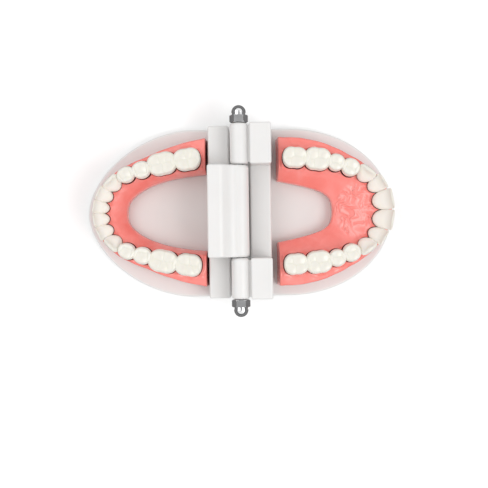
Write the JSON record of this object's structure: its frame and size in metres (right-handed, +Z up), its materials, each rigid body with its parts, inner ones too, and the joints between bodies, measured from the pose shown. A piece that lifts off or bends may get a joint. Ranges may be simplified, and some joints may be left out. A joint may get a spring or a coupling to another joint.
{
  "type": "typodont model",
  "caption": "Dental study model: two toothed gums on white bases, hinged along the back by a threaded rod with cap nuts.",
  "frame": {"origin": "on the table plane, straight below the middle of the hinge axis", "axes": "+X towards the upper jaw's front, -X towards the lower jaw's front, +Y along the hinge axis towards the patient's right, +Z up"},
  "size_m": [0.139, 0.0926, 0.0345],
  "materials": {
    "base_plastic": "semi-gloss moulded white",
    "gum_resin": "glossy coral pink",
    "tooth_enamel": "glossy ivory white",
    "rod_steel": "zinc plated thread",
    "nut_chrome": "mirror bright",
    "screw_steel": "bright zinc"
  },
  "bodies": {
    "lower_jaw": {"lower_base": "base_plastic", "lower_gum": "gum_resin", "lower_right_central_incisor": "tooth_enamel", "lower_right_lateral_incisor": "tooth_enamel", "lower_right_canine": "tooth_enamel", "lower_right_first_premolar": "tooth_enamel", "lower_right_second_premolar": "tooth_enamel", "lower_right_first_molar": "tooth_enamel", "lower_right_second_molar": "tooth_enamel", "lower_left_central_incisor": "tooth_enamel", "lower_left_lateral_incisor": "tooth_enamel", "lower_left_canine": "tooth_enamel", "lower_left_first_premolar": "tooth_enamel", "lower_left_second_premolar": "tooth_enamel", "lower_left_first_molar": "tooth_enamel", "lower_left_second_molar": "tooth_enamel", "lower_gum_screw_1": "screw_steel", "lower_gum_screw_2": "screw_steel", "lower_gum_screw_3": "screw_steel"},
    "upper_jaw": {"upper_base": "base_plastic", "upper_gum": "gum_resin", "upper_right_central_incisor": "tooth_enamel", "upper_right_lateral_incisor": "tooth_enamel", "upper_right_canine": "tooth_enamel", "upper_right_first_premolar": "tooth_enamel", "upper_right_second_premolar": "tooth_enamel", "upper_right_first_molar": "tooth_enamel", "upper_right_second_molar": "tooth_enamel", "upper_left_central_incisor": "tooth_enamel", "upper_left_lateral_incisor": "tooth_enamel", "upper_left_canine": "tooth_enamel", "upper_left_first_premolar": "tooth_enamel", "upper_left_second_premolar": "tooth_enamel", "upper_left_first_molar": "tooth_enamel", "upper_left_second_molar": "tooth_enamel", "upper_gum_screw_1": "screw_steel", "upper_gum_screw_2": "screw_steel", "upper_gum_screw_3": "screw_steel"},
    "hinge_rod": {"hinge_rod": "rod_steel"},
    "front_nut": {"cap_nut_front": "nut_chrome"},
    "back_nut": {"cap_nut_back": "nut_chrome"}
  },
  "joints": [
    {"name": "jaw_hinge", "type": "hinge", "parent": "lower_jaw", "child": "upper_jaw", "pos_m": [0, 0, 0.027], "axis": [0, -1, 0], "range_deg": [0, 180]},
    {"name": "rod_slide", "type": "slide", "parent": "lower_jaw", "child": "hinge_rod", "axis": [0, 1, 0], "range_m": [0, 0.09]},
    {"name": "front_nut_off", "type": "slide", "parent": "lower_jaw", "child": "front_nut", "axis": [0, -1, 0], "range_m": [0, 0.012]},
    {"name": "back_nut_off", "type": "slide", "parent": "hinge_rod", "child": "back_nut", "axis": [0, 1, 0], "range_m": [0, 0.012]}
  ]
}
